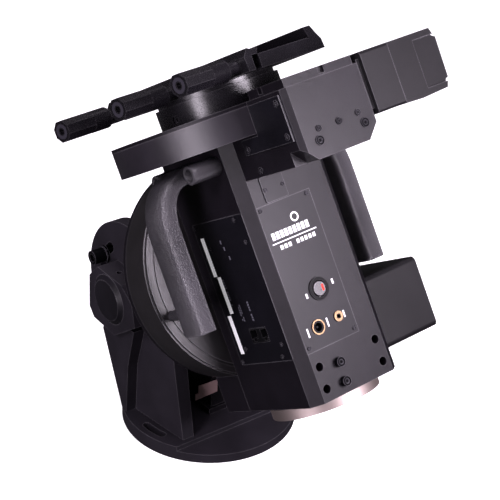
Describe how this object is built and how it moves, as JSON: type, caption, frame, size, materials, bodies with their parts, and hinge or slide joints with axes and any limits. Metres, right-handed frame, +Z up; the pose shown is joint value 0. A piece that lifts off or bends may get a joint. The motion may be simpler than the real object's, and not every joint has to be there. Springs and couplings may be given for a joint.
{
  "type": "equatorial mount",
  "caption": "Black equatorial mount head: round pier flange and fork, tilted polar axis wheel, motor-driven declination body and dovetail saddle.",
  "frame": {"origin": "centre of the pier flange's lower face", "axes": "+Z up, -Y to the front, towards the raised end of the polar axis, X along the altitude axis"},
  "size_m": [0.3122, 0.3793, 0.4917],
  "materials": {
    "black_casting": "fine black texture, satin",
    "black_plate": "anodised black",
    "black_cover": "fine texture",
    "handle_grip": "satin, lightly textured",
    "turned_black": "turned, black anodised",
    "bright_flange": "turned bright",
    "steel": "turned",
    "black_steel": "black oxide",
    "bronze": "machined",
    "scale_plate": "satin, pale",
    "belt_rubber": "matte",
    "motor_case": "painted",
    "socket_metal": "nickel",
    "switch_plastic": "gloss",
    "board": "solder mask"
  },
  "bodies": {
    "base": {"pier_flange": "black_casting", "fork_arm_left": "black_casting", "fork_arm_right": "black_casting", "pivot_caps": "black_plate", "altitude_bracket": "black_casting", "altitude_scale": "scale_plate", "azimuth_lug": "black_casting"},
    "altitude_worm_body": {"altitude_worm": "steel"},
    "azimuth_screw_left_body": {"azimuth_screw_left": "black_steel"},
    "azimuth_screw_right_body": {"azimuth_screw_right": "black_steel"},
    "polar_body": {"polar_housing": "black_casting", "altitude_sector": "bronze", "altitude_lock_bolts": "black_steel", "pivot_pins": "steel", "polar_bearings": "steel", "polar_rear_cap": "black_casting"},
    "ra_body": {"ra_wheel_housing": "black_casting", "ra_wheel_cover": "black_casting", "ra_worm_wheel": "bronze", "ra_shaft": "steel", "ra_lock_nut": "steel", "ra_worm_carrier": "black_casting", "worm_bearings": "steel", "drive_motors": "motor_case", "drive_belts": "belt_rubber", "ra_motor_box": "black_cover", "dec_body": "black_casting", "power_panel": "black_plate", "label_panel": "black_plate", "panel_sockets": "socket_metal", "small_cover_plate": "black_plate", "switch_bezel": "switch_plastic", "circuit_board": "board", "case_screws": "black_steel", "carry_handle_left": "handle_grip", "carry_handle_right": "handle_grip", "dec_wheel_housing": "black_casting", "dec_wheel_cover": "black_casting", "dec_worm_wheel": "bronze", "dec_bearings": "steel", "dec_worm_housing": "black_casting", "dec_side_plate": "black_plate", "dec_motor_adapter": "black_cover", "dec_motor_cap": "black_cover"},
    "ra_worm_body": {"ra_worm": "steel"},
    "ra_pulley_body": {"ra_motor_pulley": "steel"},
    "dec_worm_body": {"dec_worm": "steel"},
    "dec_pulley_body": {"dec_motor_pulley": "steel"},
    "rocker_body": {"power_rocker": "switch_plastic"},
    "dec_turntable": {"dec_shaft": "steel", "dec_hub": "turned_black", "dec_lower_flange": "bright_flange", "turntable_screws": "black_steel", "saddle_base": "turned_black", "jaw_guide_pins": "steel"},
    "clutch_body": {"clutch_screw": "black_steel"},
    "jaw_body": {"moving_jaw": "turned_black"},
    "knob_front_body": {"clamp_knob_front": "turned_black"},
    "knob_middle_body": {"clamp_knob_middle": "turned_black"},
    "knob_rear_body": {"clamp_knob_rear": "turned_black"}
  },
  "joints": [
    {"name": "altitude_tilt", "type": "hinge", "parent": "base", "child": "polar_body", "pos_m": [0, 0.052, 0.1545], "axis": [-1, 0, 0], "range_deg": [-17.25, 32.75]},
    {"name": "altitude_worm_turn", "type": "hinge", "parent": "base", "child": "altitude_worm_body", "pos_m": [0, 0.00285, 0.06937], "axis": [0, 0.866, -0.5], "range_deg": [-1631, 3092]},
    {"name": "azimuth_push_left", "type": "slide", "parent": "base", "child": "azimuth_screw_left_body", "axis": [1, 0, 0], "range_m": [-0.004, 0.004]},
    {"name": "azimuth_push_right", "type": "slide", "parent": "base", "child": "azimuth_screw_right_body", "axis": [1, 0, 0], "range_m": [-0.004, 0.004]},
    {"name": "ra_turn", "type": "hinge", "parent": "polar_body", "child": "ra_body", "pos_m": [0, -0.10632, 0.25439], "axis": [0, -0.8457, 0.5336], "continuous": true},
    {"name": "ra_worm_turn", "type": "hinge", "parent": "ra_body", "child": "ra_worm_body", "pos_m": [0.00645, -0.11117, 0.11926], "axis": [0.9985, 0.0294, 0.0466], "continuous": true},
    {"name": "ra_pulley_turn", "type": "hinge", "parent": "ra_body", "child": "ra_pulley_body", "pos_m": [0.06773, -0.1439, 0.15735], "axis": [0.9985, 0.0294, 0.0466], "continuous": true},
    {"name": "dec_worm_turn", "type": "hinge", "parent": "ra_body", "child": "dec_worm_body", "pos_m": [-0.00738, -0.13402, 0.42984], "axis": [0.9985, 0.0294, 0.0466], "continuous": true},
    {"name": "dec_pulley_turn", "type": "hinge", "parent": "ra_body", "child": "dec_pulley_body", "pos_m": [0.05459, -0.15975, 0.44893], "axis": [0.9985, 0.0294, 0.0466], "continuous": true},
    {"name": "power_rocker_tilt", "type": "hinge", "parent": "ra_body", "child": "rocker_body", "pos_m": [-0.00532, -0.18031, 0.25407], "axis": [-0.0551, 0.5328, 0.8444], "range_deg": [-7, 7]},
    {"name": "dec_turn", "type": "hinge", "parent": "ra_body", "child": "dec_turntable", "pos_m": [-0.00848, -0.02438, 0.38427], "axis": [-0.0551, 0.5328, 0.8444], "continuous": true},
    {"name": "clutch_screw_release", "type": "slide", "parent": "dec_turntable", "child": "clutch_body", "axis": [0.9814, 0.1845, -0.0523], "range_m": [-0.002, 0]},
    {"name": "jaw_slide", "type": "slide", "parent": "dec_turntable", "child": "jaw_body", "axis": [0.9744, 0.2132, -0.0709], "range_m": [-0.002, 0.006]},
    {"name": "knob_middle_turn", "type": "hinge", "parent": "jaw_body", "child": "knob_middle_body", "pos_m": [-0.10251, -0.0282, 0.42033], "axis": [0.9744, 0.2132, -0.0709], "range_deg": [-480, 1440]},
    {"name": "knob_front_turn", "type": "hinge", "parent": "jaw_body", "child": "knob_front_body", "pos_m": [-0.08334, -0.10027, 0.46705], "axis": [0.9744, 0.2132, -0.0709], "range_deg": [-480, 1440]},
    {"name": "knob_rear_turn", "type": "hinge", "parent": "jaw_body", "child": "knob_rear_body", "pos_m": [-0.12168, 0.04387, 0.37361], "axis": [0.9744, 0.2132, -0.0709], "range_deg": [-480, 1440]}
  ],
  "couplings": [
    {"joint": "altitude_worm_turn", "follows": "altitude_tilt", "ratio": 94.248},
    {"joint": "azimuth_push_right", "follows": "azimuth_push_left", "ratio": 1},
    {"joint": "ra_pulley_turn", "follows": "ra_worm_turn", "ratio": 1.6},
    {"joint": "dec_pulley_turn", "follows": "dec_worm_turn", "ratio": 1.6},
    {"joint": "knob_middle_turn", "follows": "jaw_slide", "rad_per_m": 4188.8},
    {"joint": "knob_front_turn", "follows": "jaw_slide", "rad_per_m": 4188.8},
    {"joint": "knob_rear_turn", "follows": "jaw_slide", "rad_per_m": 4188.8}
  ]
}
